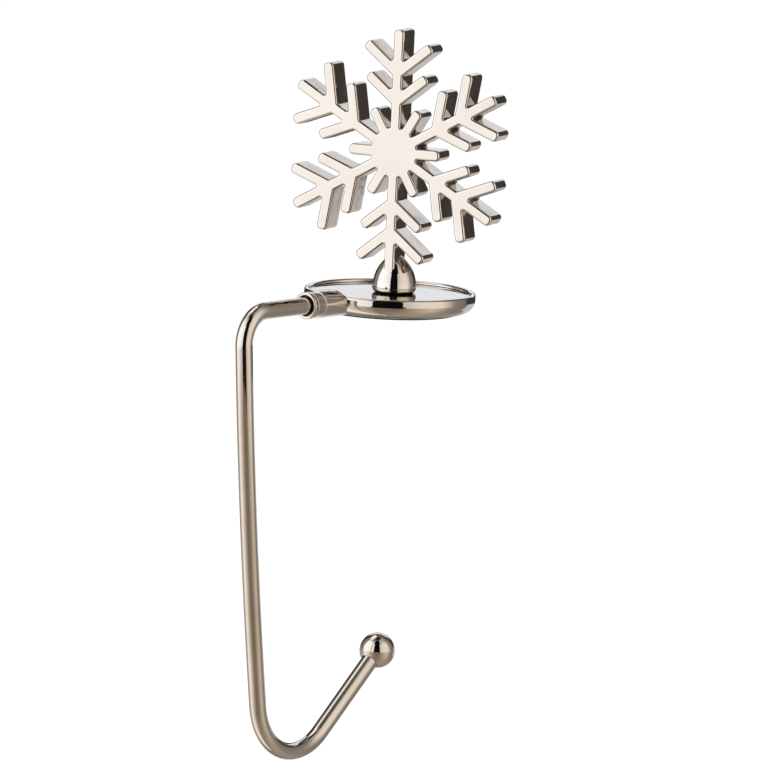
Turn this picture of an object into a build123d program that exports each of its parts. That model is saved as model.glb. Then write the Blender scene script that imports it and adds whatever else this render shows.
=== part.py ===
# Mantel stocking holder: a cast dish that stands on the shelf, a snowflake on a pointed dome foot,
# and a bent rod that reaches over the shelf's edge, hangs down and turns up into a ball end.
# Millimetres, +Z up. The origin is the centre of the pad's underside, and the arm points to -Y.
from build123d import *
import os
from math import atan2, cos, degrees, hypot, radians, sin, tan

# Dish
dish_diameter = 37.2
dish_height = 4.3
wall_round_width = 3.1
wall_round_height = 2.8
rim_bead_diameter = 1.2
floor_below_bead = 0.1

# Pad under the dish
pad_margin = 0.6
pad_thickness = 1.0
pad_standout = 0.4
pad_clearance = 0.15
pad_edge_bevel = 0.2

# Rod and its path
rod_diameter = 3.7
reach = 70.0
hook_drop = 101.0
arm_height = 3.35
top_bend_radius = 6.7
bottom_bend_radius = 13.4
shank_lean = 7.15
shank_bow = 4.2
leg_angle = 39.9
leg_length = 24.8

# Socket boss for the rod, on the dish's front
socket_wall = 1.1
socket_standout = 10.8
socket_inset = 1.4
socket_end_slope = 45
socket_bore_depth = 10.0
socket_fit = 0.05
mouth_gap = 0.35
mouth_recess_depth = 0.8
nose_length = 4.0
nose_inset = 0.15
nose_step = 0.2
nose_ring_proud = 0.12
lip_ring_width = 0.9
collar_ring_place = 1.35
collar_ring_width = 0.5

# Ball on the rod's end
ball_diameter = 7.8
ball_hole_past_centre = 1.0
ball_fit = 0.05

# Snowflake
arm_count = 6
first_arm = 90
flake_radius = 26.7
flake_thickness = 6.1
flake_turn = 15.0
bar_width = 2.4
bar_end_flat = 0.5
branch_angle = 51.0
outer_branch_root = 17.2
outer_branch_length = 9.75
inner_branch_root = 11.0
inner_branch_length = 8.8
spike_radius = 10.6
notch_round = 0.3
front_bevel = 0.35
back_bevel = 0.25

# Dome foot of the snowflake, and the height in it where the lowest arm ends
foot_diameter = 9.7
foot_setback = 1.2
foot_lip_height = 1.25
foot_edge_round = 1.1
foot_waist_inset = 0.1
dome_height = 7.65
arm_end_height = 2.95

# Screw that holds the foot to the dish
screw_diameter = 3.0
screw_clearance = 0.2
screw_bite = 6.5
screw_head_diameter = 5.6
screw_head_angle = 90
screw_thread_gap = 0.05
screw_hole_spare = 0.4
recess_width = 0.7
recess_span = 2.8
recess_depth = 0.8

# Radii, heights and places that follow
dish_radius = dish_diameter / 2
inner_radius = dish_radius - rim_bead_diameter
wall_foot_radius = dish_radius - wall_round_width
pad_radius = wall_foot_radius - pad_margin
rod_radius = rod_diameter / 2
socket_radius = rod_radius + socket_wall
nose_radius = socket_radius - nose_inset
ring_radius = nose_radius + nose_ring_proud
ball_radius = ball_diameter / 2
foot_radius = foot_diameter / 2
underside = pad_standout
pad_ceiling = pad_thickness
rim_top = underside + dish_height
bead_level = rim_top - rim_bead_diameter / 2
floor_level = bead_level - floor_below_bead
dome_base = floor_level + foot_lip_height
flake_height = dome_base + arm_end_height + flake_radius
socket_mouth = dish_radius + socket_standout
socket_bore_end = socket_mouth - socket_bore_depth
socket_length = socket_standout + socket_inset
shank_reach = reach - dish_radius - rod_radius
half_step = 180 / arm_count
bar_end_round = (bar_width - bar_end_flat) / 2

# The shank's bow radius makes the whole rod as tall as hook_drop
lean_top = shank_lean - shank_bow / 2
lean_foot = shank_lean + shank_bow / 2
top_bend_fall = top_bend_radius * (1 + sin(radians(lean_top)))
bottom_bend_fall = bottom_bend_radius * (1 - sin(radians(lean_foot)))
shank_fall = hook_drop - rod_diameter - top_bend_fall - bottom_bend_fall
bow_radius = shank_fall / (sin(radians(lean_foot)) - sin(radians(lean_top)))

# The screw's head lies face to face in the countersink, which is wider by the clearance
head_slope = tan(radians(screw_head_angle / 2))
head_radius = screw_head_diameter / 2
thread_radius = screw_diameter / 2 - screw_thread_gap
head_level = pad_ceiling + screw_clearance / head_slope
neck_level = head_level + (head_radius - thread_radius) / head_slope

# Planes and axes
arm_axis = Axis((0, 0, arm_height), (0, -1, 0))
foot_axis = Axis((0, foot_setback, 0), (0, 0, 1))
socket_face = Plane(origin=(0, -socket_mouth, arm_height), z_dir=(0, -1, 0))
socket_section = Plane(origin=(0, -socket_mouth, arm_height), x_dir=(0, 1, 0), z_dir=(1, 0, 0))
socket_end = Plane(
    origin=(0, socket_length - socket_mouth, arm_height),
    z_dir=(0, sin(radians(socket_end_slope)), cos(radians(socket_end_slope))),
)
foot_section = Plane(origin=(0, foot_setback, 0), x_dir=(1, 0, 0), z_dir=(0, -1, 0))
facing = Plane(
    origin=(0, foot_setback, flake_height),
    x_dir=(cos(radians(flake_turn)), sin(radians(flake_turn)), 0),
    z_dir=(sin(radians(flake_turn)), -cos(radians(flake_turn)), 0),
)
facing_axis = Axis(facing.origin, facing.z_dir)

# Socket boss: a stepped nose with a lip and a collar ring, its far end sloping down to the dish's rim
with BuildPart() as socket_boss:
    with BuildSketch(socket_section):
        with BuildLine():
            Polyline(
                (0, 0),
                (0, nose_radius),
                (lip_ring_width / 4, ring_radius),
                (lip_ring_width * 3 / 4, ring_radius),
                (lip_ring_width, nose_radius),
                (collar_ring_place - collar_ring_width / 2, nose_radius),
                (collar_ring_place - collar_ring_width / 4, ring_radius),
                (collar_ring_place + collar_ring_width / 4, ring_radius),
                (collar_ring_place + collar_ring_width / 2, nose_radius),
                (nose_length - nose_step, nose_radius),
                (nose_length, socket_radius),
                (socket_length + socket_radius, socket_radius),
                (socket_length + socket_radius, 0),
                close=True,
            )
        make_face()
    revolve(axis=arm_axis)
    split(bisect_by=socket_end, keep=Keep.BOTTOM)

# Dish casting: revolved section, socket boss with its bore, recess and countersink below
with BuildPart() as base_dish:
    with BuildSketch(Plane.XZ):
        with BuildLine():
            Line((0, underside), (wall_foot_radius, underside))
            EllipticalCenterArc(
                (wall_foot_radius, underside + wall_round_height),
                wall_round_width,
                wall_round_height,
                start_angle=270,
                arc_size=90,
            )
            Line((dish_radius, underside + wall_round_height), (dish_radius, bead_level))
            ThreePointArc(
                (dish_radius, bead_level),
                (dish_radius - rim_bead_diameter / 2, rim_top),
                (inner_radius, bead_level),
            )
            Line((inner_radius, bead_level), (inner_radius, floor_level))
            Line((inner_radius, floor_level), (0, floor_level))
            Line((0, floor_level), (0, underside))
        make_face()
    revolve(axis=Axis.Z)
    add(socket_boss.part)
    with Locations(socket_face):
        CounterBoreHole(
            rod_radius + socket_fit,
            rod_radius + mouth_gap,
            mouth_recess_depth,
            socket_bore_depth,
        )
    with BuildSketch(Plane.XY.offset(underside)):
        Circle(pad_radius + pad_clearance)
    extrude(amount=pad_ceiling - underside, mode=Mode.SUBTRACT)
    with Locations(Plane(origin=(0, foot_setback, pad_ceiling), z_dir=(0, 0, -1))):
        CounterSinkHole(
            screw_diameter / 2 + screw_clearance,
            head_radius + screw_clearance,
            counter_sink_angle=screw_head_angle,
        )

# Snowflake casting: bars on a six-fold layout, bevelled, run into the dome foot
with BuildPart() as snowflake:
    with BuildSketch(facing):
        with PolarLocations(flake_radius / 2, arm_count, first_arm):
            RectangleRounded(flake_radius, bar_width, bar_end_round)
        with PolarLocations(spike_radius / 2, arm_count, first_arm + half_step):
            RectangleRounded(spike_radius, bar_width, bar_end_round)
        for root, length in (
            (outer_branch_root, outer_branch_length),
            (inner_branch_root, inner_branch_length),
        ):
            for side in (1, -1):
                along = root + length / 2 * cos(radians(branch_angle))
                across = side * length / 2 * sin(radians(branch_angle))
                swing = degrees(atan2(across, along))
                turn = side * branch_angle - swing
                with PolarLocations(hypot(along, across), arm_count, first_arm + swing):
                    RectangleRounded(length, bar_width, bar_end_round, rotation=turn)
        offset(amount=notch_round)
        offset(amount=-notch_round)
    extrude(amount=flake_thickness / 2, both=True)
    chamfer(snowflake.faces().filter_by(facing).sort_by(facing_axis)[-1].edges(), front_bevel)
    chamfer(snowflake.faces().filter_by(facing).sort_by(facing_axis)[0].edges(), back_bevel)
    with BuildSketch(foot_section):
        with BuildLine():
            waist_radius = foot_radius - foot_waist_inset
            dome_curve = (waist_radius**2 + dome_height**2) / (2 * waist_radius)
            Line((0, floor_level), (foot_radius - foot_edge_round, floor_level))
            RadiusArc(
                (foot_radius - foot_edge_round, floor_level),
                (foot_radius, floor_level + foot_edge_round),
                -foot_edge_round,
            )
            Line((foot_radius, floor_level + foot_edge_round), (waist_radius, dome_base))
            RadiusArc((waist_radius, dome_base), (0, dome_base + dome_height), -dome_curve)
            Line((0, dome_base + dome_height), (0, floor_level))
        make_face()
    revolve(axis=foot_axis)
    with Locations(Plane(origin=(0, foot_setback, floor_level), z_dir=(0, 0, -1))):
        Hole(screw_diameter / 2, depth=screw_bite + screw_hole_spare)

# Bent rod: arm, top bend, bowed shank, bottom bend and upturned leg, all in one plane
with BuildPart() as hook_rod:
    with BuildLine(Plane.YZ):
        arm = Line((-socket_bore_end, arm_height), (top_bend_radius - shank_reach, arm_height))
        top_bend = JernArc(arm @ 1, arm % 1, top_bend_radius, 90 + lean_top)
        shank = JernArc(top_bend @ 1, top_bend % 1, bow_radius, shank_bow)
        bottom_bend = JernArc(shank @ 1, shank % 1, bottom_bend_radius, 90 + leg_angle - lean_foot)
        leg_way = bottom_bend % 1
        ball_centre = bottom_bend @ 1 + leg_way * leg_length
        Line(bottom_bend @ 1, ball_centre + leg_way * ball_hole_past_centre)
    with BuildSketch(Plane(origin=arm @ 0, z_dir=arm % 0)):
        Circle(rod_radius)
    sweep()

# Ball drilled for the rod's end
with BuildPart(Plane(origin=ball_centre, z_dir=-leg_way)) as ball_end:
    Sphere(ball_radius)
    with Locations((0, 0, ball_radius)):
        Hole(rod_radius + ball_fit, depth=ball_radius + ball_hole_past_centre)

# Countersunk screw, its head let in above the pad
with BuildPart() as fixing_screw:
    with BuildSketch(foot_section):
        with BuildLine():
            Polyline(
                (0, head_level),
                (head_radius, head_level),
                (thread_radius, neck_level),
                (thread_radius, floor_level + screw_bite),
                (0, floor_level + screw_bite),
                close=True,
            )
        make_face()
    revolve(axis=foot_axis)
    with BuildSketch(Plane(origin=(0, foot_setback, head_level), z_dir=(0, 0, 1))):
        Rectangle(recess_span, recess_width)
        Rectangle(recess_width, recess_span)
    extrude(amount=recess_depth, mode=Mode.SUBTRACT)

# Pad let into the underside
with BuildPart() as non_slip_pad:
    with BuildSketch(Plane.XY):
        Circle(pad_radius)
    extrude(amount=pad_thickness)
    chamfer(non_slip_pad.faces().sort_by(Axis.Z)[0].edges(), pad_edge_bevel)

base_dish.part.label = "base_dish"
snowflake.part.label = "snowflake"
hook_rod.part.label = "hook_rod"
ball_end.part.label = "ball_end"
fixing_screw.part.label = "fixing_screw"
non_slip_pad.part.label = "non_slip_pad"

os.makedirs("parts", exist_ok=True)
export_step(base_dish.part, "parts/base_dish.step")
export_step(snowflake.part, "parts/snowflake.step")
export_step(hook_rod.part, "parts/hook_rod.step")
export_step(ball_end.part, "parts/ball_end.step")
export_step(fixing_screw.part, "parts/fixing_screw.step")
export_step(non_slip_pad.part, "parts/non_slip_pad.step")
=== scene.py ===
"""Dress the mantel stocking holder: plated castings, bent wire, a rubber pad and the studio.

Lengths in the classes are millimetres in the part's own frame, with +Z up and the arm reaching to
-Y, and angles in their fields are degrees. A mesh becomes metres in an object of its own.
"""

import logging
import math
from dataclasses import dataclass
from enum import Enum
from functools import cached_property
from typing import Mapping, Optional, Sequence, TypeVar, Union

import bmesh
import bpy
from bmesh.types import BMEdge, BMesh, BMFace, BMVert
from bpy.types import Material, NodeSocket, NodeTree, Object
from mathutils import Matrix, Vector


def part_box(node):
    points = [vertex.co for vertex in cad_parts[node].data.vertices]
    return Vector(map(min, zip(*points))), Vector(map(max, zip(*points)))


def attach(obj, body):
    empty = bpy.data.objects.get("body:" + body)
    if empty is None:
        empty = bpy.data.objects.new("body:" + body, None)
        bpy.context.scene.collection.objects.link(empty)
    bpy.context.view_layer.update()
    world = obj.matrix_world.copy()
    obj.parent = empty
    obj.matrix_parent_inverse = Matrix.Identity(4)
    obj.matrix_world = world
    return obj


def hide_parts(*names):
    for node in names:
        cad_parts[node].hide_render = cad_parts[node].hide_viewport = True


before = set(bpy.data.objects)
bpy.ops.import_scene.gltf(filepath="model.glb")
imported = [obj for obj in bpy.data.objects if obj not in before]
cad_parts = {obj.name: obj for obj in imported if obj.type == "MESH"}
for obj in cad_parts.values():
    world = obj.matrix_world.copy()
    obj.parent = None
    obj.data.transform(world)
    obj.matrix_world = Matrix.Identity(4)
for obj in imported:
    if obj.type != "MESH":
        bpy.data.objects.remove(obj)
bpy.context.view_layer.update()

MM = 0.001
BODY = "root"
ARC_STEP = math.radians(9)
CARD_STEP = math.radians(4)
CREASE = math.radians(32)
WELD = 0.0005  # millimetres
STRAIGHT = 0.0005  # radians
FLAT_FACE_LEAD = 90
EDGE_MARK = "edge"
CLOUD_ROUGHNESS = 0.55
# a mix node's colour sockets share their names with others, so they go by place
MIX_SHARE, MIX_FIRST, MIX_SECOND, MIX_COLOUR = 0, 6, 7, 2
WHITE = (1, 1, 1, 1)
ORIGIN = Vector((0, 0, 0))
RIGHT = Vector((1, 0, 0))
UP = Vector((0, 0, 1))

Span = tuple[float, float]
Tone = tuple[float, float, float]
Corner = tuple[float, float, float]
Sides = tuple[tuple[float, Tone], ...]
Feed = Union[NodeSocket, float, Sequence[float]]
Key = Union[str, int]
Kind = TypeVar("Kind", BMVert, BMEdge, BMFace)

log = logging.getLogger("stocking_holder")


class Slot(Enum):
    """Names of material slots for the pieces; nothing in the script uses them."""

    DISH = "dish_nickel"
    FLAKE = "flake_nickel"
    ROD = "rod_nickel"
    PAD = "pad_rubber"


class Node(Enum):
    """The solids of the frame."""

    DISH = "base_dish"
    FLAKE = "snowflake"
    ROD = "hook_rod"
    BALL = "ball_end"
    SCREW = "fixing_screw"
    PAD = "non_slip_pad"


def node_size(node: Node) -> Vector:
    """Give a solid's width, depth and height in millimetres."""
    low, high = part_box(node.value)
    return (high - low) / MM


def place(origin: Sequence[float], along: Sequence[float], across: Sequence[float]) -> Matrix:
    """Make the matrix that stands a local Z axis along one way, with local X across it.

    Args:
        origin: Where the local origin goes.
        along: The way that local Z points.
        across: The way that local X points.

    Returns:
        The matrix from local to part coordinates.
    """
    z_axis = Vector(along).normalized()
    x_axis = Vector(across).normalized()
    turned = Matrix((x_axis, z_axis.cross(x_axis), z_axis)).transposed().to_4x4()
    return Matrix.Translation(Vector(origin)) @ turned


def only(kind: type[Kind], geom: Sequence[object]) -> list[Kind]:
    """Pick the vertices, the edges or the faces out of mixed geometry."""
    return [item for item in geom if isinstance(item, kind)]


def sweep(
    bm: BMesh,
    geom: Sequence[object],
    centre: Vector,
    axis: Vector,
    angle: float,
    steps: int,
    closed: bool = False,
    copies: bool = False,
) -> list[object]:
    """Turn geometry about an axis and draw a skin behind it, or leave copies.

    Args:
        bm: The mesh.
        geom: What is turned.
        centre: A point on the axis.
        axis: The way that the axis points.
        angle: How far it turns, in radians.
        steps: In how many steps it turns.
        closed: Whether a full turn is joined to its start.
        copies: Whether copies are left instead of a skin.

    Returns:
        The geometry at the end of the turn.
    """
    return bmesh.ops.spin(
        bm,
        geom=geom,
        cent=centre,
        axis=axis,
        dvec=ORIGIN,
        angle=angle,
        steps=steps,
        use_merge=closed,
        use_duplicate=copies,
    )["geom_last"]


@dataclass
class Pen:
    """Draws an open chain of edges by drawing out its last vertex.

    Attributes:
        bm: The mesh that it draws in.
        tip: The chain's last vertex.
        left: The axis that a turn to the left goes round.
    """

    bm: BMesh
    tip: BMVert
    left: Vector

    @classmethod
    def start(cls, point: Sequence[float], left: Vector) -> "Pen":
        """Start a chain at a point, in a new mesh."""
        bm = bmesh.new()
        return cls(bm, bm.verts.new(point), left)

    @classmethod
    def for_lathe(cls, radius: float, height: float) -> "Pen":
        """Start a section in the XZ plane, where X is the radius and Z the height."""
        return cls.start((radius, 0, height), Vector((0, -1, 0)))

    def line(self, point: Vector) -> None:
        """Draw a straight edge to a point."""
        self.tip = bmesh.ops.extrude_vert_indiv(self.bm, verts=[self.tip])["verts"][0]
        self.tip.co = point

    def arc(self, centre: Vector, angle: float) -> None:
        """Draw an arc about a centre, turning left where the angle is positive."""
        steps = max(2, math.ceil(abs(angle) / ARC_STEP))
        self.tip = sweep(self.bm, [self.tip], centre, self.left, angle, steps)[0]

    def corner(self, point: Vector, beyond: Vector, radius: float) -> None:
        """Draw up to a corner and round it towards the next point.

        Args:
            point: The sharp corner.
            beyond: The point that the chain goes on to.
            radius: The corner's radius, or 0 for a sharp one.
        """
        way_in = (point - self.tip.co).normalized()
        way_out = (beyond - point).normalized()
        angle = way_in.angle(way_out)
        if radius <= 0 or angle < STRAIGHT:
            self.line(point)
            return
        side = math.copysign(1, self.left.dot(way_in.cross(way_out)))
        self.line(point - way_in * radius * math.tan(angle / 2))
        self.arc(self.tip.co + self.left.cross(way_in) * side * radius, side * angle)

    def swell(self, corner: Vector, end: Vector) -> None:
        """Draw a quarter of an ellipse from the tip, bulging to a corner.

        Args:
            corner: The corner.
            end: Where the curve ends.
        """
        start = self.tip.co.copy()
        centre = start + end - corner
        steps = math.ceil(math.pi / 2 / ARC_STEP)
        for step in range(1, steps + 1):
            angle = math.pi / 2 * step / steps
            across = (end - centre) * math.sin(angle)
            self.line(centre + across + (start - centre) * math.cos(angle))

    def chain(self, corners: Sequence[Corner]) -> None:
        """Draw a lathe section through corners.

        Args:
            corners: Each corner's radius, height and rounding.
        """
        points = [Vector((radius, 0, height)) for radius, height, _ in corners]
        for (point, beyond), (_, _, rounding) in zip(zip(points, points[1:]), corners):
            self.corner(point, beyond, rounding)
        self.line(points[-1])

    def revolve(self, steps: int, at: Matrix) -> BMesh:
        """Turn a lathe section round Z into a closed skin and put it in place.

        Args:
            steps: How many faces go round.
            at: The matrix from lathe to part coordinates.

        Returns:
            The skin.
        """
        bm = self.bm
        bmesh.ops.remove_doubles(bm, verts=bm.verts[:], dist=WELD)
        sweep(bm, bm.verts[:] + bm.edges[:], ORIGIN, UP, math.tau, steps, closed=True)
        bmesh.ops.remove_doubles(bm, verts=bm.verts[:], dist=WELD)
        bmesh.ops.recalc_face_normals(bm, faces=bm.faces[:])
        bmesh.ops.transform(bm, matrix=at, verts=bm.verts[:])
        return bm


def loose_object(bm: BMesh, name: str, unit: float = 1.0) -> Object:
    """Put a mesh in an object of its own.

    Args:
        bm: The mesh. It is used up.
        name: The object's name.
        unit: What the mesh's lengths are multiplied by.

    Returns:
        The object.
    """
    bmesh.ops.scale(bm, vec=(unit, unit, unit), verts=bm.verts[:])
    mesh = bpy.data.meshes.new(name)
    bm.to_mesh(mesh)
    bm.free()
    made = bpy.data.objects.new(name, mesh)
    bpy.context.scene.collection.objects.link(made)
    return made


def fuse(*shells: BMesh) -> BMesh:
    """Join closed skins into one, as a casting runs its forms together.

    Args:
        shells: The skins, the main one first. They are used up.

    Returns:
        One closed skin.
    """
    main, *others = [loose_object(shell, f"shell_{index}") for index, shell in enumerate(shells)]
    for other in others:
        union = main.modifiers.new("union", "BOOLEAN")
        union.operation = "UNION"
        union.solver = "EXACT"
        union.object = other
    fused = bmesh.new()
    fused.from_object(main, bpy.context.evaluated_depsgraph_get())
    for used in (main, *others):
        mesh = used.data
        bpy.data.objects.remove(used)
        bpy.data.meshes.remove(mesh)
    return fused


def mark_edges(bm: BMesh, flat: float = 0.6, full: float = 2.6) -> None:
    """Mark how sharply each face lies on an edge, above 0 on a ridge and below 0 in a notch.

    Args:
        bm: The mesh in millimetres.
        flat: The curvature, one over millimetres, up to which nothing is marked.
        full: The curvature that is marked as 1.
    """
    mark = bm.faces.layers.float.new(EDGE_MARK)
    middles = {face: face.calc_center_median() for face in bm.faces}
    for edge in bm.edges:
        if len(edge.link_faces) != 2:
            continue
        first, second = edge.link_faces
        apart = (middles[first] - middles[second]).length
        bend = edge.calc_face_angle_signed(0) / max(apart, WELD)
        grade = math.copysign(min(max(abs(bend) - flat, 0) / (full - flat), 1), bend)
        for face in (first, second):
            if abs(grade) > abs(face[mark]):
                face[mark] = grade


def hang(bm: BMesh, name: str, node: Node, finishes: Sequence[Material]) -> Object:
    """Turn a finished mesh into a piece that stands for a solid of the frame.

    Args:
        bm: The mesh in millimetres. It is used up.
        name: The piece's name.
        node: The solid that the piece stands for.
        finishes: The materials, in the order of the faces' indices.

    Returns:
        The piece.
    """
    mark_edges(bm)
    piece = loose_object(bm, name, MM)
    for finish in finishes:
        piece.data.materials.append(finish)
    piece.data.shade_smooth()
    piece.data.set_sharp_from_angle(angle=CREASE)
    level = piece.modifiers.new("flat_faces_lead", "WEIGHTED_NORMAL")
    level.mode = "FACE_AREA"
    level.weight = FLAT_FACE_LEAD
    level.keep_sharp = True
    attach(piece, BODY)
    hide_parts(node.value)
    return piece


@dataclass
class Graph:
    """Adds nodes to a tree and feeds their sockets.

    Attributes:
        tree: The node tree of a material or the world.
    """

    tree: NodeTree

    def node(self, kind: str, feeds: Mapping[Key, Feed], **settings: object) -> bpy.types.Node:
        """Add a node.

        Args:
            kind: The node's type.
            feeds: A link or a value for each input.
            settings: The node's own properties.

        Returns:
            The node.
        """
        made = self.tree.nodes.new(kind)
        for key, value in settings.items():
            setattr(made, key, value)
        for key, value in feeds.items():
            self.feed(made, key, value)
        return made

    def feed(self, node: bpy.types.Node, key: Key, value: Feed) -> None:
        """Link or set one input of a node.

        Args:
            node: The node.
            key: The input's name or place.
            value: The output that feeds it, or its value.
        """
        if isinstance(value, NodeSocket):
            self.tree.links.new(value, node.inputs[key])
        else:
            node.inputs[key].default_value = value

    def spot(self) -> NodeSocket:
        """Give the place on the piece."""
        return self.node("ShaderNodeTexCoord", {}).outputs["Object"]

    def squeezed(self, at: NodeSocket, scale: Sequence[float], turn: Sequence[float]) -> NodeSocket:
        """Give a place that is turned and squeezed, which draws a pattern out into lines."""
        feeds = {"Vector": at, "Rotation": turn, "Scale": scale}
        return self.node("ShaderNodeMapping", feeds).outputs["Vector"]

    def cloud(self, at: NodeSocket, size: float, detail: float = 2.0) -> NodeSocket:
        """Give a soft pattern whose marks are about so many millimetres across."""
        marks = {"Scale": 1 / (size * MM), "Detail": detail, "Roughness": CLOUD_ROUGHNESS}
        return self.node("ShaderNodeTexNoise", {"Vector": at, **marks}).outputs["Fac"]

    def spread(
        self, value: NodeSocket, low: float, high: float, to_low: float, to_high: float
    ) -> NodeSocket:
        """Stretch a pattern's range onto another and hold it there.

        Args:
            value: The pattern.
            low: Where its range starts.
            high: Where its range ends.
            to_low: Where the new range starts.
            to_high: Where the new range ends.

        Returns:
            The stretched pattern.
        """
        ends = {"From Min": low, "From Max": high, "To Min": to_low, "To Max": to_high}
        stretched = self.node("ShaderNodeMapRange", {"Value": value, **ends}, clamp=True)
        return stretched.outputs["Result"]

    def mixed(self, share: Feed, first: Feed, second: Feed) -> NodeSocket:
        """Mix two colours."""
        feeds = {MIX_SHARE: share, MIX_FIRST: first, MIX_SECOND: second}
        return self.node("ShaderNodeMix", feeds, data_type="RGBA").outputs[MIX_COLOUR]

    def summed(self, first: Feed, second: Feed) -> NodeSocket:
        """Add two values."""
        return self.node("ShaderNodeMath", {0: first, 1: second}, operation="ADD").outputs[0]

    def relief(
        self, height: NodeSocket, depth: float, over: Optional[NodeSocket] = None
    ) -> NodeSocket:
        """Turn a pattern into relief.

        Args:
            height: The pattern.
            depth: The relief's depth in millimetres.
            over: The relief that it lies on, where there is one.

        Returns:
            The way that the surface faces.
        """
        feeds: dict[Key, Feed] = {"Height": height, "Distance": depth * MM, "Strength": 1.0}
        if over is not None:
            feeds["Normal"] = over
        return self.node("ShaderNodeBump", feeds).outputs["Normal"]


def rgba(tone: Tone) -> tuple[float, float, float, float]:
    """Give a tone with full cover."""
    return (*tone, 1.0)


def new_material(name: str) -> tuple[Material, Graph, bpy.types.Node]:
    """Start a material.

    Args:
        name: The material's name.

    Returns:
        The material, its graph and its surface shader.
    """
    made = bpy.data.materials.new(name)
    made.use_nodes = True
    return made, Graph(made.node_tree), made.node_tree.nodes["Principled BSDF"]


@dataclass(frozen=True)
class Plate:
    """Plate on metal: drifting tone, smears, polishing lines, rubbed ridges and darker notches.

    Attributes:
        name: The material's name.
        tone: The plate's colour.
        drift_tone: The colour that it drifts to.
        ridge_tone: The colour where ridges are rubbed.
        notch_tone: The colour that notches darken to.
        roughness: How blurred its mirror is at its clearest and where it is smeared.
        ripple_size: How wide the ripples of the casting or wire under it are.
        ripple_depth: How deep they are.
        line_depth: How deep the polishing lines are.
        line_turn: Which way the polishing lines run.
        drift_size: How wide the patches of drift are.
        drift_span: The part of the drift's pattern that shows.
        smear_size: How wide the smears are.
        smear_span: The part of the smears' pattern that shows.
        line_width: How wide the polishing lines are.
        line_squeeze: How far their pattern is squeezed along them.
        line_span: The part of their pattern that blurs the mirror.
        edge_cover: How much of a ridge's or a notch's colour shows.
    """

    name: str
    tone: Tone
    drift_tone: Tone
    ridge_tone: Tone
    notch_tone: Tone
    roughness: Span
    ripple_size: float
    ripple_depth: float
    line_depth: float
    line_turn: tuple[float, float, float]
    drift_size: float = 9.0
    drift_span: Span = (0.38, 0.68)
    smear_size: float = 2.4
    smear_span: Span = (0.42, 0.72)
    line_width: float = 0.09
    line_squeeze: float = 0.035
    line_span: Span = (0.55, 0.8)
    edge_cover: float = 0.6

    def material(self) -> Material:
        """Build the shader.

        Returns:
            The plate's material.
        """
        made, graph, shader = new_material(self.name)
        at = graph.spot()
        edge = graph.node("ShaderNodeAttribute", {}, attribute_name=EDGE_MARK).outputs["Fac"]
        drift = graph.spread(graph.cloud(at, self.drift_size), *self.drift_span, 0, 1)
        colour = graph.mixed(drift, rgba(self.tone), rgba(self.drift_tone))
        for full_mark, tone in ((1, self.ridge_tone), (-1, self.notch_tone)):
            share = graph.spread(edge, 0, full_mark, 0, self.edge_cover)
            colour = graph.mixed(share, colour, rgba(tone))
        graph.feed(shader, "Base Color", colour)
        graph.feed(shader, "Metallic", 1)
        turn = tuple(math.radians(angle) for angle in self.line_turn)
        drawn_out = graph.squeezed(at, (1, 1, self.line_squeeze), turn)
        lines = graph.cloud(drawn_out, self.line_width, detail=3)
        smears = graph.cloud(at, self.smear_size, detail=4)
        smear = graph.spread(smears, *self.smear_span, *self.roughness)
        haze = graph.spread(lines, *self.line_span, 0, self.roughness[0])
        graph.feed(shader, "Roughness", graph.summed(smear, haze))
        ripple = graph.relief(graph.cloud(at, self.ripple_size, detail=3), self.ripple_depth)
        graph.feed(shader, "Normal", graph.relief(lines, self.line_depth, ripple))
        return made


@dataclass(frozen=True)
class Rubber:
    """Matt black rubber with a fine grain and pale dust.

    Attributes:
        name: The material's name.
        tone: The rubber's colour.
        dust_tone: The colour of the dust on it.
        grain_size: How wide its grain is.
        grain_depth: How deep its grain is.
        grain_span: The part of the grain's pattern that changes the roughness.
        roughness: How rough it is at its smoothest and at its roughest.
        dust_size: How wide the patches of dust are.
        dust_span: The part of the dust's pattern that shows.
        dust_cover: How much of the dust's colour shows.
    """

    name: str
    tone: Tone
    dust_tone: Tone
    grain_size: float
    grain_depth: float
    grain_span: Span = (0.3, 0.7)
    roughness: Span = (0.62, 0.86)
    dust_size: float = 3.5
    dust_span: Span = (0.52, 0.8)
    dust_cover: float = 0.6

    def material(self) -> Material:
        """Build the shader.

        Returns:
            The material.
        """
        made, graph, shader = new_material(self.name)
        at = graph.spot()
        grain = graph.cloud(at, self.grain_size, detail=3)
        patches = graph.cloud(at, self.dust_size, detail=5)
        dust = graph.spread(patches, *self.dust_span, 0, self.dust_cover)
        graph.feed(shader, "Base Color", graph.mixed(dust, rgba(self.tone), rgba(self.dust_tone)))
        graph.feed(shader, "Roughness", graph.spread(grain, *self.grain_span, *self.roughness))
        graph.feed(shader, "Normal", graph.relief(grain, self.grain_depth))
        return made


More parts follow.
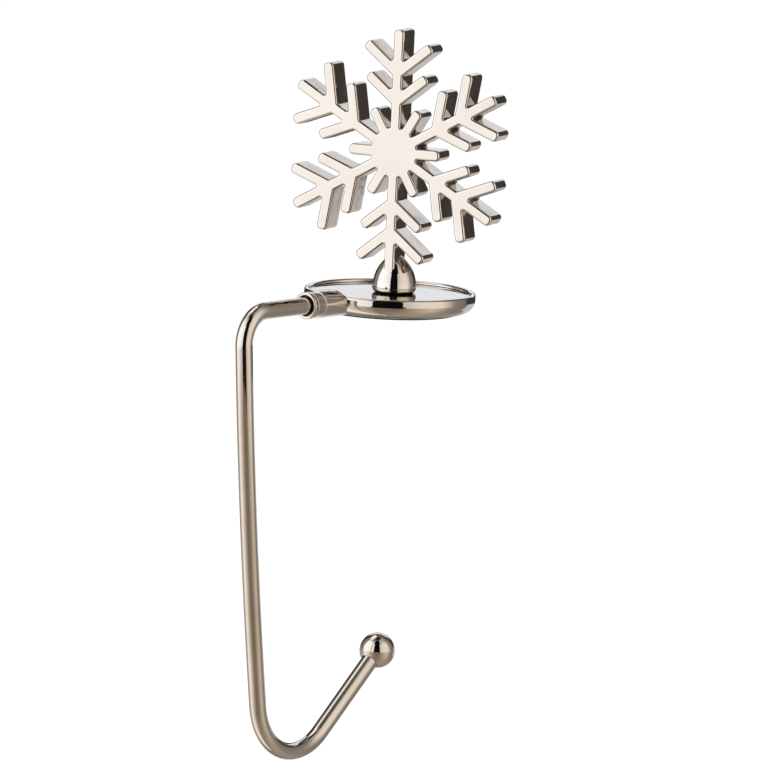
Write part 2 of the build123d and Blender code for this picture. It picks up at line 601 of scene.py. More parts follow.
class Finish(Enum):
    """The finishes of the holder's pieces."""

    POLISHED = Plate(
        name="polished_nickel",
        tone=(0.80, 0.735, 0.675),
        drift_tone=(0.765, 0.70, 0.64),
        ridge_tone=(0.86, 0.81, 0.765),
        notch_tone=(0.42, 0.365, 0.31),
        roughness=(0.035, 0.085),
        ripple_size=2.6,
        ripple_depth=0.0016,
        line_depth=0.00004,
        line_turn=(20, 35, 0),
    )
    CAST = Plate(
        name="cast_nickel",
        tone=(0.75, 0.69, 0.63),
        drift_tone=(0.60, 0.545, 0.49),
        ridge_tone=(0.80, 0.75, 0.70),
        notch_tone=(0.30, 0.255, 0.21),
        roughness=(0.08, 0.2),
        ripple_size=1.7,
        ripple_depth=0.035,
        line_depth=0.0001,
        line_turn=(90, 0, 15),
    )
    WIRE = Plate(
        name="wire_nickel",
        tone=(0.79, 0.725, 0.66),
        drift_tone=(0.745, 0.675, 0.605),
        ridge_tone=(0.84, 0.79, 0.74),
        notch_tone=(0.42, 0.365, 0.31),
        roughness=(0.045, 0.11),
        ripple_size=3.2,
        ripple_depth=0.0022,
        line_depth=0.00005,
        line_turn=(0, 0, 0),
    )
    # painted shade: this near-black plate darkens undersides, creases, grooves and the bore where
    # shade falls
    PAINTED_SHADE = Plate(
        name="painted_shade_nickel",
        tone=(0.10, 0.085, 0.07),
        drift_tone=(0.06, 0.05, 0.04),
        ridge_tone=(0.15, 0.13, 0.11),
        notch_tone=(0.03, 0.026, 0.022),
        roughness=(0.2, 0.36),
        ripple_size=0.8,
        ripple_depth=0.01,
        line_depth=0.0002,
        line_turn=(90, 0, 0),
    )
    ZINC = Plate(
        name="screw_zinc",
        tone=(0.62, 0.62, 0.60),
        drift_tone=(0.53, 0.53, 0.50),
        ridge_tone=(0.74, 0.74, 0.72),
        notch_tone=(0.30, 0.29, 0.27),
        roughness=(0.26, 0.42),
        ripple_size=0.6,
        ripple_depth=0.003,
        line_depth=0.0006,
        line_turn=(0, 0, 0),
    )
    RUBBER = Rubber(
        name="pad_rubber",
        tone=(0.016, 0.016, 0.016),
        dust_tone=(0.055, 0.052, 0.048),
        grain_size=0.22,
        grain_depth=0.02,
    )


@dataclass
class Dish:
    """The cast dish that stands on the shelf, with the socket for the rod."""

    underside: float = 0.4
    wall_round_width: float = 3.1
    wall_round_height: float = 2.8
    rim_bead_diameter: float = 1.2
    dish_height: float = 4.3
    floor_below_bead: float = 0.1
    pad_ceiling: float = 1.0
    pad_gap: float = 0.15
    arm_height: float = 3.35
    rod_radius: float = 1.85
    socket_wall: float = 1.1
    socket_standout: float = 10.8
    socket_inset: float = 1.4
    socket_end_slope: float = 45.0
    socket_bore_depth: float = 10.0
    socket_fit: float = 0.05
    mouth_gap: float = 0.35
    mouth_recess_depth: float = 0.8
    # how far into the bore the painted shade starts
    painted_shade_depth: float = 0.3
    nose_length: float = 4.0
    nose_inset: float = 0.24
    nose_step: float = 0.2
    nose_ring_proud: float = 0.22
    lip_ring_width: float = 0.9
    collar_ring_place: float = 1.35
    collar_ring_width: float = 0.5
    under_facing: float = -0.86
    bead_foot_width: float = 0.12
    bead_foot_height: float = 0.14
    groove_reach: float = 0.06
    steps: int = 240
    socket_steps: int = 120

    @cached_property
    def radius(self) -> float:
        """The dish's outer radius, as the frame has it."""
        return node_size(Node.DISH).x / 2

    @property
    def rim_top(self) -> float:
        """The height of the bead's top."""
        return self.underside + self.dish_height

    @property
    def floor(self) -> float:
        """The height of the mirror floor."""
        return self.rim_top - self.rim_bead_diameter / 2 - self.floor_below_bead

    @property
    def inner(self) -> float:
        """The radius inside the bead."""
        return self.radius - self.rim_bead_diameter

    @property
    def nose(self) -> float:
        """The radius of the socket's nose between its rings."""
        return self.rod_radius + self.socket_wall - self.nose_inset

    @property
    def mouth_place(self) -> float:
        """Where the socket's mouth is along Y."""
        return -self.radius - self.socket_standout

    def bowl(self) -> BMesh:
        """Turn the dish itself, with the pad's recess below.

        Returns:
            A closed skin.
        """
        bead = self.rim_bead_diameter / 2
        wall_foot = self.radius - self.wall_round_width
        wall_foot_top = self.underside + self.wall_round_height
        recess = node_size(Node.PAD).x / 2 + self.pad_gap
        pen = Pen.for_lathe(0, self.pad_ceiling)
        pen.chain(
            [
                (recess, self.pad_ceiling, 0),
                (recess, self.underside, 0),
                (wall_foot, self.underside, 0),
            ]
        )
        pen.swell(Vector((self.radius, 0, self.underside)), Vector((self.radius, 0, wall_foot_top)))
        pen.chain(
            [
                (self.radius, self.rim_top, bead),
                (self.inner, self.rim_top, bead),
                (self.inner, self.floor, self.floor_below_bead),
                (0, self.floor, 0),
            ]
        )
        return pen.revolve(self.steps, Matrix())

    def socket(self) -> BMesh:
        """Turn the boss for the rod, with its lip, ring, step and bore, and slope its far end.

        Returns:
            A closed skin along the arm, with lathe height measured back from the mouth.
        """
        outer = self.rod_radius + self.socket_wall
        ring = self.nose + self.nose_ring_proud
        bore = self.rod_radius + self.socket_fit
        mouth = self.rod_radius + self.mouth_gap
        lip_round = (ring - mouth) / 2
        collar = self.collar_ring_place - self.collar_ring_width / 2
        collar_end = self.collar_ring_place + self.collar_ring_width / 2
        step = self.nose_length - self.nose_step
        length = self.socket_standout + self.socket_inset
        pen = Pen.for_lathe(0, self.socket_bore_depth)
        pen.chain(
            [
                (bore, self.socket_bore_depth, 0),
                (bore, self.mouth_recess_depth, 0),
                (mouth, self.mouth_recess_depth, 0),
                (mouth, 0, lip_round),
                (ring, 0, lip_round),
                (ring, self.lip_ring_width, self.nose_ring_proud),
                (self.nose, self.lip_ring_width, 0),
                (self.nose, collar, 0),
                (ring, collar, self.nose_ring_proud),
                (ring, collar_end, self.nose_ring_proud),
                (self.nose, collar_end, 0),
                (self.nose, step, 0),
                (outer, step, self.nose_inset),
                (outer, length + outer, 0),
                (0, length + outer, 0),
            ]
        )
        at = place((0, self.mouth_place, self.arm_height), (0, 1, 0), RIGHT)
        bm = pen.revolve(self.socket_steps, at)
        slope = math.radians(self.socket_end_slope)
        end = bmesh.ops.bisect_plane(
            bm,
            geom=bm.verts[:] + bm.edges[:] + bm.faces[:],
            dist=WELD,
            plane_co=(0, self.mouth_place + length, self.arm_height),
            plane_no=(0, math.sin(slope), math.cos(slope)),
            clear_outer=True,
        )["geom_cut"]
        bmesh.ops.edgeloop_fill(bm, edges=only(BMEdge, end))
        bmesh.ops.recalc_face_normals(bm, faces=bm.faces[:])
        return bm

    def build(self, finish: Material, painted_shade: Material) -> Object:
        """Fuse the casting, paint shade on its underside, seams, grooves and bore, and hang it.

        Args:
            finish: The plate on it.
            painted_shade: The near-black plate that paints shade where it falls.

        Returns:
            The dish.
        """
        casting = fuse(self.bowl(), self.socket())
        plates = [finish, painted_shade]
        for side in casting.faces:
            # faces under the dish, at the bead's foot and in the socket's grooves and bore take the
            # near-black plate as painted shade
            plate = painted_shade if self.takes_painted_shade(side) else finish
            side.material_index = plates.index(plate)
        return hang(casting, "dish", Node.DISH, plates)

    def takes_painted_shade(self, side: BMFace) -> bool:
        """Tell whether a face is under the dish, at the bead's foot or in the socket's recesses.

        Args:
            side: A face of the casting.

        Returns:
            True where shade is painted.
        """
        spot = side.calc_center_median()
        away = math.hypot(spot.x, spot.y)
        if away < self.radius:
            low = spot.z < self.pad_ceiling + self.pad_gap
            beside_bead = abs(away - self.inner) < self.bead_foot_width
            on_floor = 0 < spot.z - self.floor < self.bead_foot_height
            return (low and side.normal.z < self.under_facing) or (beside_bead and on_floor)
        off_axis = math.hypot(spot.x, spot.z - self.arm_height)
        depth = spot.y - self.mouth_place
        groove = self.lip_ring_width - self.nose_ring_proud < depth < self.collar_ring_place
        bore = off_axis < self.rod_radius + self.mouth_gap and depth > self.painted_shade_depth
        return bore or (groove and off_axis < self.nose + self.groove_reach)


@dataclass
class Snowflake:
    """The cast flake and its dome foot."""

    arm_count: int = 6
    radius: float = 26.7
    centre_height: float = 34.8
    thickness: float = 6.1
    turn: float = 15.0
    bar_width: float = 2.4
    bar_end_flat: float = 0.5
    branch_angle: float = 51.0
    outer_branch: Span = (17.2, 9.75)
    inner_branch: Span = (11.0, 8.8)
    spike_radius: float = 10.6
    notch_round: float = 0.3
    front_bevel: float = 0.5
    back_bevel: float = 0.25
    bevel_segments: int = 4
    floor_level: float = 4.0
    setback: float = 1.2
    flake_lead: float = 0.25
    foot_lag: float = 0.35
    foot_radius: float = 4.85
    foot_lip_height: float = 1.25
    foot_edge_round: float = 1.1
    foot_lip_round: float = 0.12
    foot_waist_inset: float = 0.1
    dome_height: float = 7.65
    under_facing: float = -0.5
    crease_facing: float = 0.3
    wall_facing: float = 0.2
    foot_steps: int = 144

    @property
    def front(self) -> Vector:
        """The way that the flake faces."""
        turn = math.radians(self.turn)
        return Vector((math.sin(turn), -math.cos(turn), 0))

    def facing(self) -> Matrix:
        """Give the matrix from the flake's own plane, with one arm along X, to the part."""
        middle = Vector((0, self.setback, self.centre_height)) + self.front * self.flake_lead
        return place(middle, self.front, UP)

    def sector(self) -> list[tuple[Vector, float]]:
        """Work out half of one arm's outline, from the arm's tip to the middle of the next spike.

        Returns:
            Corners in the flake's plane, each with its rounding.
        """
        half = self.bar_width / 2
        tip_round = (self.bar_width - self.bar_end_flat) / 2
        corners = [(Vector((self.radius, 0, 0)), 0.0), (Vector((self.radius, half, 0)), tip_round)]
        lean = math.radians(self.branch_angle)
        way = Vector((math.cos(lean), math.sin(lean), 0))
        outward = Vector((math.sin(lean), -math.cos(lean), 0))
        for root, length in (self.outer_branch, self.inner_branch):
            foot = Vector((root, 0, 0))
            above = foot + outward * half + way * (half + half * math.cos(lean)) / math.sin(lean)
            below = foot - outward * half + way * (half - half * math.cos(lean)) / math.sin(lean)
            corners += [
                (above, self.notch_round),
                (foot + outward * half + way * length, tip_round),
                (foot - outward * half + way * length, tip_round),
                (below, self.notch_round),
            ]
        step = math.pi / self.arm_count
        spike = Vector((math.cos(step), math.sin(step), 0))
        beside = Vector((math.sin(step), -math.cos(step), 0)) * half
        crotch = beside + spike * (half + half * math.cos(step)) / math.sin(step)
        corners += [
            (crotch, self.notch_round),
            (beside + spike * self.spike_radius, tip_round),
            (spike * self.spike_radius, 0.0),
        ]
        return corners

    def lattice(self) -> BMesh:
        """Draw the outline, mirror and turn it into six arms, and give it thickness and bevels.

        Returns:
            A closed skin.
        """
        corners = self.sector()
        pen = Pen.start(corners[0][0], UP)
        for (point, rounding), (beyond, _) in zip(corners[1:], corners[2:]):
            pen.corner(point, beyond, rounding)
        pen.line(corners[-1][0])
        bm = pen.bm
        bmesh.ops.mirror(bm, geom=bm.verts[:] + bm.edges[:], merge_dist=WELD, axis="Y")
        sweep(bm, bm.verts[:] + bm.edges[:], ORIGIN, UP, math.tau, self.arm_count, copies=True)
        bmesh.ops.remove_doubles(bm, verts=bm.verts[:], dist=WELD)
        back = bmesh.ops.edgeloop_fill(bm, edges=bm.edges[:])["faces"]
        drawn = bmesh.ops.extrude_face_region(bm, geom=back)["geom"]
        bmesh.ops.translate(bm, vec=UP * self.thickness, verts=only(BMVert, drawn))
        bmesh.ops.recalc_face_normals(bm, faces=bm.faces[:])
        for faces, width in ((only(BMFace, drawn), self.front_bevel), (back, self.back_bevel)):
            bmesh.ops.bevel(
                bm,
                geom=list({edge for face in faces for edge in face.edges}),
                offset=width,
                offset_type="OFFSET",
                segments=self.bevel_segments,
                profile=0.5,
                affect="EDGES",
                clamp_overlap=False,
                material=-1,
            )
        bmesh.ops.translate(bm, vec=-UP * self.thickness / 2, verts=bm.verts[:])
        bmesh.ops.transform(bm, matrix=self.facing(), verts=bm.verts[:])
        return bm

    def foot(self) -> BMesh:
        """Turn the dome foot: a rounded lip, a crease and a pointed arch.

        Returns:
            A closed skin.
        """
        waist = self.foot_radius - self.foot_waist_inset
        lip_top = self.floor_level + self.foot_lip_height
        curve = (waist**2 + self.dome_height**2) / (2 * waist)
        pen = Pen.for_lathe(0, self.floor_level)
        pen.chain(
            [
                (self.foot_radius, self.floor_level, self.foot_edge_round),
                (self.foot_radius, lip_top, self.foot_lip_round),
                (waist, lip_top, 0),
            ]
        )
        pen.arc(Vector((waist - curve, 0, lip_top)), math.asin(self.dome_height / curve))
        spot = Vector((0, self.setback, 0)) - self.front * self.foot_lag
        return pen.revolve(self.foot_steps, Matrix.Translation(spot))

    def build(self, face: Material, wall: Material, painted_shade: Material) -> Object:
        """Fuse flake and foot, give the flake's side walls their as-cast plate, and hang them.

        Args:
            face: The plate on faces, bevels and foot.
            wall: The plate on the side walls.
            painted_shade: The near-black plate that paints shade under the foot's edge and in its
                crease.

        Returns:
            The snowflake.
        """
        casting = fuse(self.lattice(), self.foot())
        plates = [face, wall, painted_shade]
        lip_top = self.floor_level + self.foot_lip_height
        for side in casting.faces:
            height = side.calc_center_median().z
            low = height < self.floor_level + self.foot_edge_round
            at_lip = abs(height - lip_top) < self.foot_lip_round
            sideways = abs(side.normal.dot(self.front)) < self.wall_facing
            # the near-black plate paints shade under the foot's edge and in the crease at its lip
            if low and side.normal.z < self.under_facing:
                side.material_index = plates.index(painted_shade)
            elif at_lip and side.normal.z > self.crease_facing:
                side.material_index = plates.index(painted_shade)
            elif sideways and height > lip_top + self.dome_height:
                side.material_index = plates.index(wall)
        return hang(casting, "flake", Node.FLAKE, plates)


@dataclass
class HookRod:
    """The bent wire, drawn by pushing and bending a ring along its path."""

    reach: float = 70.0
    arm_height: float = 3.35
    arm_start: float = 19.4
    top_bend_radius: float = 6.7
    bottom_bend_radius: float = 13.4
    shank_lean: float = 7.15
    shank_bow: float = 4.2
    leg_angle: float = 39.9
    leg_length: float = 24.8
    past_ball_centre: float = 1.0
    ring_steps: int = 72
    bend_step: float = 3.0
    bow_steps: int = 24

    @cached_property
    def radius(self) -> float:
        """The wire's radius, as the frame has it."""
        return node_size(Node.ROD).x / 2

    @property
    def leg_way(self) -> Vector:
        """The way that the leg rises from the bottom bend."""
        angle = math.radians(self.leg_angle)
        return Vector((0, math.cos(angle), math.sin(angle)))

    def push(self, bm: BMesh, ring: list[BMEdge], way: Vector) -> list[BMEdge]:
        """Draw the wire on in a straight run.

        Args:
            bm: The wire's mesh.
            ring: The edges of its open end.
            way: How far and which way it goes.

        Returns:
            The edges of the new open end.
        """
        drawn = bmesh.ops.extrude_edge_only(bm, edges=ring)["geom"]
        bmesh.ops.translate(bm, vec=way, verts=only(BMVert, drawn))
        return only(BMEdge, drawn)

    def bend(
        self, bm: BMesh, ring: list[BMEdge], centre: Vector, angle: float, steps: int = 0
    ) -> list[BMEdge]:
        """Draw the wire on round a bend in the YZ plane.

        Args:
            bm: The wire's mesh.
            ring: The edges of its open end.
            centre: The bend's centre.
            angle: The bend's angle in radians.
            steps: How many rings it takes, or 0 for one each bend step.

        Returns:
            The edges of the new open end.
        """
        rings = steps or round(angle / math.radians(self.bend_step))
        return only(BMEdge, sweep(bm, ring, centre, RIGHT, angle, rings))

    def spoke(self, lean: float) -> Vector:
        """Give the way from a bend's centre out to the shank, where the shank leans so far."""
        return Vector((0, -math.cos(lean), -math.sin(lean)))

    def build(self, finish: Material) -> tuple[Object, Vector]:
        """Bend the wire and hang it.

        Args:
            finish: The plate on it.

        Returns:
            The rod, and the ball's centre on its leg.
        """
        dish_radius = node_size(Node.DISH).x / 2
        drop = node_size(Node.ROD).z
        lean_top = math.radians(self.shank_lean - self.shank_bow / 2)
        lean_foot = math.radians(self.shank_lean + self.shank_bow / 2)
        top_fall = self.top_bend_radius * (1 + math.sin(lean_top))
        bottom_fall = self.bottom_bend_radius * (1 - math.sin(lean_foot))
        shank_fall = drop - 2 * self.radius - top_fall - bottom_fall
        bow_radius = shank_fall / (math.sin(lean_foot) - math.sin(lean_top))
        bend_out = self.reach - dish_radius - self.radius - self.top_bend_radius

        bm = bmesh.new()
        bmesh.ops.create_circle(
            bm,
            segments=self.ring_steps,
            radius=self.radius,
            cap_ends=True,
            matrix=place((0, -self.arm_start, self.arm_height), (0, -1, 0), RIGHT),
        )
        ring = self.push(bm, bm.edges[:], Vector((0, self.arm_start - bend_out, 0)))
        centre = Vector((0, -bend_out, self.arm_height - self.top_bend_radius))
        ring = self.bend(bm, ring, centre, math.pi / 2 + lean_top)
        spoke = self.spoke(lean_top)
        centre = centre + spoke * self.top_bend_radius - spoke * bow_radius
        ring = self.bend(bm, ring, centre, lean_foot - lean_top, self.bow_steps)
        spoke = self.spoke(lean_foot)
        centre = centre + spoke * bow_radius - spoke * self.bottom_bend_radius
        turn = math.pi / 2 + math.radians(self.leg_angle) - lean_foot
        ring = self.bend(bm, ring, centre, turn)
        leg_foot = centre + Vector((0, self.leg_way.z, -self.leg_way.y)) * self.bottom_bend_radius
        ring = self.push(bm, ring, self.leg_way * (self.leg_length + self.past_ball_centre))
        bmesh.ops.edgeloop_fill(bm, edges=ring)
        bmesh.ops.recalc_face_normals(bm, faces=bm.faces[:])
        rod = hang(bm, "rod", Node.ROD, [finish])
        return rod, leg_foot + self.leg_way * self.leg_length


@dataclass
class BallEnd:
    """The drilled ball on the rod's end."""

    hole_fit: float = 0.05
    steps: int = 128

    def build(self, centre: Vector, rod: HookRod, finish: Material) -> Object:
        """Turn the ball about the leg's axis and hang it.

        Args:
            centre: The ball's centre.
            rod: The wire that it sits on.
            finish: The plate on it.

        Returns:
            The ball.
        """
        radius = node_size(Node.BALL).x / 2
        hole = rod.radius + self.hole_fit
        mouth = math.acos(hole / radius)
        pen = Pen.for_lathe(0, rod.past_ball_centre)
        pen.line(Vector((hole, 0, rod.past_ball_centre)))
        pen.line(Vector((hole, 0, -radius * math.sin(mouth))))
        pen.arc(ORIGIN, math.pi / 2 + mouth)
        bm = pen.revolve(self.steps, place(centre, rod.leg_way, RIGHT))
        return hang(bm, "ball", Node.BALL, [finish])


@dataclass
class Pad:
    """The rubber disc let into the dish's underside."""

    edge_round: float = 0.2
    steps: int = 144

    def build(self, finish: Material) -> Object:
        """Turn the disc and hang it.

        Args:
            finish: Its rubber.

        Returns:
            The pad.
        """
        radius, thickness = node_size(Node.PAD).x / 2, node_size(Node.PAD).z
        pen = Pen.for_lathe(0, 0)
        pen.chain([(radius, 0, self.edge_round), (radius, thickness, 0), (0, thickness, 0)])
        bm = pen.revolve(self.steps, Matrix())
        return hang(bm, "pad", Node.PAD, [finish])


@dataclass
class Studio:
    """Camera, floor, cards and light."""

    azimuth: float = 37.878
    elevation: float = 8.068
    roll: float = 2.577
    shift_right: float = 0.392
    shift_up: float = 15.887
    distance: float = 1735.926
    focal_pixels: float = 8000
    frame_pixels: float = 768
    sensor: float = 36.0
    clip: Span = (10.0, 100000.0)
    floor_level: float = -285.0
    floor_radius: float = 6000.0
    floor_steps: int = 96
    floor_tone: Tone = (0.95, 0.95, 0.95)
    floor_roughness: float = 0.9
    floor_lift: float = 0.3
    ambient: float = 0.75

    @property
    def facing(self) -> float:
        """The camera's side, from +X."""
        return self.azimuth - 90

    def axes(self) -> tuple[Vector, Vector, Vector]:
        """Work out how the camera stands before its roll.

        Returns:
            Its right, up and forward ways.
        """
        azimuth, elevation = math.radians(self.azimuth), math.radians(self.elevation)
        right = Vector((math.cos(azimuth), math.sin(azimuth), 0))
        level = Vector((-math.sin(azimuth), math.cos(azimuth), 0))
        forward = level * math.cos(elevation) - UP * math.sin(elevation)
        return right, right.cross(forward), forward

    def camera(self) -> None:
        """Stand the camera where the photograph was taken from."""
        right, up, forward = self.axes()
        roll = math.radians(self.roll)
        across = right * math.cos(roll) + up * math.sin(roll)
        spot = -(right * self.shift_right + up * self.shift_up + forward * self.distance)
        data = bpy.data.cameras.new("camera")
        data.sensor_width = self.sensor
        data.lens = self.focal_pixels * self.sensor / self.frame_pixels
        data.clip_start, data.clip_end = (length * MM for length in self.clip)
        made = bpy.data.objects.new("camera", data)
        made.matrix_world = place(spot * MM, -forward, across)
        bpy.context.scene.collection.objects.link(made)
        bpy.context.scene.camera = made

    def seen(self, graph: Graph, low: float, high: float) -> NodeSocket:
        """Tell rays from the camera, polish and glass from the rest.

        Args:
            graph: The graph of a material or the world.
            low: The value for the rest.
            high: The value for rays from the camera, polish and glass.

        Returns:
            The value.
        """
        path = graph.node("ShaderNodeLightPath", {}).outputs
        shown = graph.summed(path["Is Camera Ray"], path["Is Glossy Ray"])
        return graph.spread(graph.summed(shown, path["Is Transmission Ray"]), 0, 1, low, high)

    def floor(self) -> None:
        """Lay the plain pale floor below the hook."""
        bm = bmesh.new()
        bmesh.ops.create_circle(
            bm,
            segments=self.floor_steps,
            radius=self.floor_radius,
            cap_ends=True,
            matrix=Matrix.Translation((0, 0, self.floor_level)),
        )
        laid = loose_object(bm, "floor", MM)
        paint, graph, shader = new_material("floor_paint")
        graph.feed(shader, "Base Color", rgba(self.floor_tone))
        graph.feed(shader, "Roughness", self.floor_roughness)
        graph.feed(shader, "Specular IOR Level", 0)
        graph.feed(shader, "Emission Color", WHITE)
        graph.feed(shader, "Emission Strength", self.seen(graph, 0, self.floor_lift))
        laid.data.materials.append(paint)

    def tent(self) -> None:
        """Stand a tent of light panels, dark cards and a table round the object."""
        black = (0.004, 0.004, 0.006)
        for stand in (
            Wall(),
            Table(),
            Card("black_card", -22, 18, 300, -91, 235, black),
            Card("black_card_top", -31, 25, 300, 235, 880, black),
            Card("front_shade", -24, 22, 405, -140, -60, (0.22, 0.18, 0.14)),
            Card("back_strip", 150, 200, 405, 42, 255, (0.87, 0.905, 0.96)),
            Card("back_floor", 128, 205, 404, -215, -66, (0.62, 0.61, 0.60)),
            Card("ceiling", -180, 180, 425, 880, 880, (0.10, 0.09, 0.075), inner=0),
            Card("left_overhead", -168, -92, 405, 480, 480, (1.18, 1.18, 1.19), inner=110),
            Card("right_overhead", 28, 115, 405, 700, 700, (0.50, 0.46, 0.40), inner=215),
            Card("back_shade", 200, 222, 405, -60, 330, (0.03, 0.028, 0.026)),
        ):
            stand.build(self.facing)

    def lamps(self) -> None:
        """Fill the world with plain white light and hang two soft lamps."""
        world = bpy.data.worlds.new("surround")
        world.use_nodes = True
        graph = Graph(world.node_tree)
        background = world.node_tree.nodes["Background"]
        graph.feed(background, "Color", WHITE)
        graph.feed(background, "Strength", self.seen(graph, self.ambient, 1))
        bpy.context.scene.world = world
        for lamp in (Lamp("key", -62, 900, 7.0), Lamp("fill", 58, 700, 3.5)):
            lamp.hang(self.facing)


@dataclass(frozen=True)
class Lamp:
    """A soft round lamp that the polish doesn't show.

    Attributes:
        name: The lamp's name.
        side: The side that it hangs on, from the camera's side.
        height: How high it hangs.
        power: Its power in watts.
        distance: How far out it hangs.
        width: How wide it is.
    """

    name: str
    side: float
    height: float
    power: float
    distance: float = 1100.0
    width: float = 800.0

    def hang(self, facing: float) -> None:
        """Hang the lamp and turn it to the object.

        Args:
            facing: The camera's side, in degrees from +X.
        """
        way = math.radians(facing + self.side)
        spot = Vector((math.cos(way) * self.distance, math.sin(way) * self.distance, self.height))
        data = bpy.data.lights.new(self.name, "AREA")
        data.shape = "DISK"
        data.size = self.width * MM
        data.energy = self.power
        lamp = bpy.data.objects.new(self.name, data)
        lamp.matrix_world = place(spot * MM, spot, UP.cross(spot))
        lamp.visible_glossy = False
        bpy.context.scene.collection.objects.link(lamp)


def turn_card(
    name: str, section: Sequence[Corner], start: float, end: float, paint: Material
) -> None:
    """Turn a section round the object into a card that only the polish sees.

    Args:
        name: The card's name.
        section: The radius, height and rounding of each corner of the section.
        start: The side that the section stands on, in degrees from +X.
        end: The side that it goes round to.
        paint: The card's material.
    """
    pen = Pen.for_lathe(*section[0][:2])
    pen.chain(section[1:])
    bm = pen.bm
    stand = Matrix.Rotation(math.radians(start), 3, "Z")
    bmesh.ops.rotate(bm, cent=ORIGIN, matrix=stand, verts=bm.verts[:])
    angle = math.radians(end - start)
    sweep(bm, bm.verts[:] + bm.edges[:], ORIGIN, UP, angle, math.ceil(angle / CARD_STEP))
    bmesh.ops.remove_doubles(bm, verts=bm.verts[:], dist=WELD)
    card = loose_object(bm, name, MM)
    card.data.materials.append(paint)
    card.visible_camera = False
    card.visible_diffuse = False
    card.visible_shadow = False


def glow(name: str) -> tuple[Material, Graph, bpy.types.Node]:
    """Start a material that gives its own light.

    Args:
        name: The material's name.

    Returns:
        The material, its graph and its light.
    """
    made, graph, shader = new_material(name)
    made.node_tree.nodes.remove(shader)
    light = graph.node("ShaderNodeEmission", {})
    graph.feed(made.node_tree.nodes["Material Output"], "Surface", light.outputs[0])
    return made, graph, light


def by_side(graph: Graph, facing: float, sides: Sides) -> NodeSocket:
    """Colour a card by the side of the object that it stands on.

    Args:
        graph: The material's graph.
        facing: The camera's side, in degrees from +X.
        sides: How bright each side is, by degrees from the camera's side, from -180 up to 180.

    Returns:
        The colour.
    """
    turned = graph.squeezed(graph.spot(), (1, 1, 1), (0, 0, -math.radians(facing)))
    side = graph.node("ShaderNodeTexGradient", {"Vector": turned}, gradient_type="RADIAL")
    ramp = graph.node("ShaderNodeValToRGB", {"Fac": side.outputs["Fac"]})
    stops = ramp.color_ramp.elements
    for angle, _ in sides[1:-1]:
        stops.new(0.5 + angle / 360)
    for stop, (_, tone) in zip(stops, sides):
        stop.color = rgba(tone)
    return ramp.outputs["Color"]


@dataclass(frozen=True)
class Card:
    """A plain card on a round, upright or level, with its own light.

    Attributes:
        name: The card's name.
        start: Its left end, in degrees from the camera's side.
        end: Its right end.
        radius: How far it stands from the object's middle.
        low: Its lower edge.
        high: Its upper edge.
        tone: How bright it is.
        inner: How near it comes to the object's middle, where it lies level.
    """

    name: str
    start: float
    end: float
    radius: float
    low: float
    high: float
    tone: Tone
    inner: Optional[float] = None

    def build(self, facing: float) -> None:
        """Put the card up.

        Args:
            facing: The camera's side, in degrees from +X.
        """
        paint, graph, light = glow(self.name)
        graph.feed(light, "Color", rgba(self.tone))
        foot = self.radius if self.inner is None else self.inner
        section = [(foot, self.low, 0), (self.radius, self.high, 0)]
        turn_card(self.name, section, facing + self.start, facing + self.end, paint)


@dataclass(frozen=True)
class Wall:
    """The tent's upright side: white on the left, cream on the right and dark behind.

    Attributes:
        radius: How far it stands from the object's middle.
        low: Its lower edge.
        high: Its upper edge.
        dim_from: The height from which it goes dim.
        dim_tone: How bright its upper edge is.
        sides: How bright it is on each side, by degrees from the camera's side.
    """

    radius: float = 420.0
    low: float = -150.0
    high: float = 885.0
    dim_from: float = 330.0
    dim_tone: Tone = (0.27, 0.26, 0.245)
    sides: Sides = (
        (-180, (0.035, 0.033, 0.03)),
        (-138, (0.06, 0.058, 0.055)),
        (-134, (0.25, 0.245, 0.24)),
        (-107, (0.25, 0.245, 0.24)),
        (-99, (1.24, 1.26, 1.30)),
        (-72, (1.32, 1.37, 1.44)),
        (-50, (1.21, 1.21, 1.22)),
        (-20, (1.0, 0.99, 0.98)),
        (22, (0.72, 0.66, 0.58)),
        (45, (0.95, 0.885, 0.79)),
        (74, (0.95, 0.885, 0.79)),
        (97, (0.32, 0.285, 0.25)),
        (108, (0.24, 0.22, 0.195)),
        (121, (0.22, 0.20, 0.18)),
        (127, (0.06, 0.055, 0.05)),
        (180, (0.035, 0.033, 0.03)),
    )

    def build(self, facing: float) -> None:
        """Stand the wall up.

        Args:
            facing: The camera's side, in degrees from +X.
        """
        paint, graph, light = glow("tent_wall")
        height = graph.node("ShaderNodeSeparateXYZ", {"Vector": graph.spot()}).outputs["Z"]
        share = graph.spread(height, self.dim_from * MM, self.high * MM, 0, 1)
        tone = by_side(graph, facing, self.sides)
        graph.feed(light, "Color", graph.mixed(share, tone, rgba(self.dim_tone)))
        section = [(self.radius, self.low, 0), (self.radius, self.high, 0)]
        turn_card("tent_wall", section, facing, facing + 360, paint)


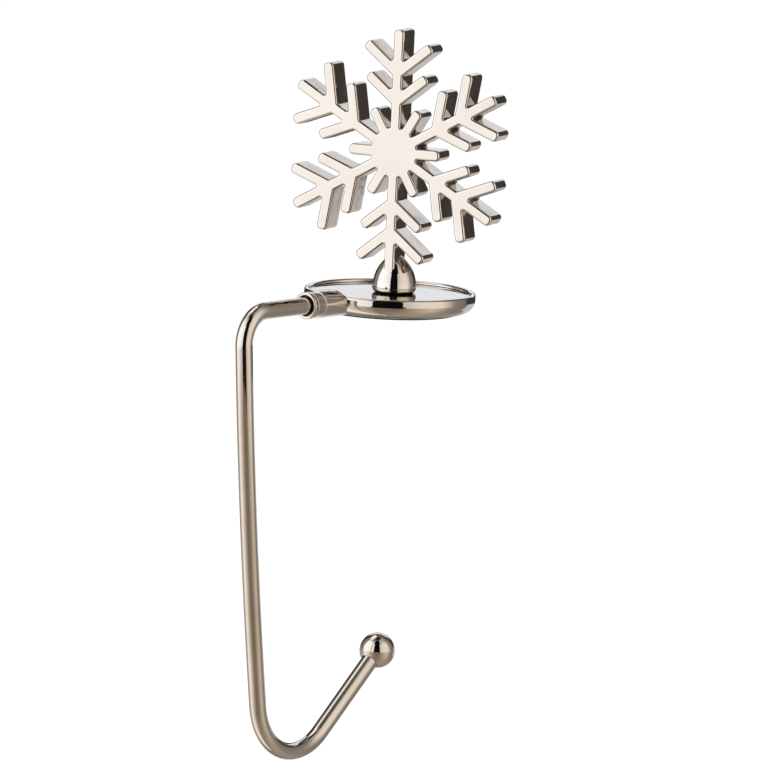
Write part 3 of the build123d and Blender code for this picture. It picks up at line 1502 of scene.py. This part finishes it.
@dataclass(frozen=True)
class Table:
    """The table under the object, lit from the left and the back and shaded in front.

    Attributes:
        level: Its height.
        radius: Where its edge turns up.
        clear_from: The height from which its edge goes clear.
        edge: How high its edge goes.
        edge_round: The radius of the turn up to its edge.
        near: How far from the object's middle it is in the object's shade, and clear of it.
        near_sides: How bright it is in the shade on each side, by degrees from the camera's side.
        sides: How bright it is clear of the shade on each side.
    """

    level: float = -270.0
    radius: float = 412.0
    clear_from: float = -140.0
    edge: float = -75.0
    edge_round: float = 60.0
    near: Span = (150.0, 380.0)
    near_sides: Sides = (
        (-180, (0.30, 0.26, 0.22)),
        (-120, (0.30, 0.26, 0.22)),
        (-84, (1.20, 1.13, 1.07)),
        (-52, (0.68, 0.61, 0.55)),
        (-20, (0.26, 0.215, 0.17)),
        (62, (0.42, 0.36, 0.30)),
        (180, (0.30, 0.26, 0.22)),
    )
    sides: Sides = (
        (-180, (1.08, 1.06, 1.05)),
        (-150, (0.42, 0.39, 0.36)),
        (-114, (0.42, 0.38, 0.34)),
        (-84, (1.22, 1.15, 1.09)),
        (-52, (0.70, 0.63, 0.57)),
        (-20, (0.25, 0.20, 0.155)),
        (10, (0.22, 0.175, 0.135)),
        (62, (0.68, 0.59, 0.49)),
        (95, (0.30, 0.265, 0.23)),
        (118, (0.25, 0.225, 0.20)),
        (134, (0.26, 0.235, 0.21)),
        (154, (0.34, 0.32, 0.30)),
        (180, (1.08, 1.06, 1.05)),
    )

    def build(self, facing: float) -> None:
        """Lay the table.

        Args:
            facing: The camera's side, in degrees from +X.
        """
        paint, graph, light = glow("table")
        at = graph.spot()
        level = graph.squeezed(at, (1, 1, 0), ORIGIN)
        away = graph.node("ShaderNodeVectorMath", {0: level}, operation="LENGTH").outputs["Value"]
        shade = graph.spread(away, *(distance * MM for distance in self.near), 1, 0)
        tones = (by_side(graph, facing, sides) for sides in (self.sides, self.near_sides))
        graph.feed(light, "Color", graph.mixed(shade, *tones))
        height = graph.node("ShaderNodeSeparateXYZ", {"Vector": at}).outputs["Z"]
        clear = graph.spread(height, self.clear_from * MM, self.edge * MM, 0, 1)
        nothing = graph.node("ShaderNodeBsdfTransparent", {})
        feeds = {0: clear, 1: light.outputs[0], 2: nothing.outputs[0]}
        cover = graph.node("ShaderNodeMixShader", feeds).outputs[0]
        graph.feed(paint.node_tree.nodes["Material Output"], "Surface", cover)
        section = [
            (0, self.level, 0),
            (self.radius, self.level, self.edge_round),
            (self.radius, self.edge, 0),
        ]
        turn_card("table", section, 0, 360, paint)


def write_sizes() -> None:
    """Bring the scene's view layer up to date."""
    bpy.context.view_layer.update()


def main() -> None:
    """Build every piece and the studio."""
    logging.basicConfig(level=logging.INFO, format="%(name)s: %(message)s")
    bpy.context.scene.view_settings.view_transform = "Standard"
    polished, cast, wire, painted_shade, zinc, rubber = (finish.value.material() for finish in Finish)
    pieces = [Dish().build(polished, painted_shade), Snowflake().build(polished, cast, painted_shade)]
    rod = HookRod()
    bent_wire, ball_centre = rod.build(wire)
    pieces += [bent_wire, BallEnd().build(ball_centre, rod, wire), Pad().build(rubber)]
    for piece in pieces:
        log.info("%s has %d faces", piece.name, len(piece.data.polygons))
    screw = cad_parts[Node.SCREW.value]
    screw.data.materials.clear()
    screw.data.materials.append(zinc)
    log.info("%s keeps its solid, in %s", Node.SCREW.value, zinc.name)
    studio = Studio()
    studio.camera()
    studio.floor()
    studio.tent()
    studio.lamps()
    write_sizes()


if __name__ == "__main__":
    main()
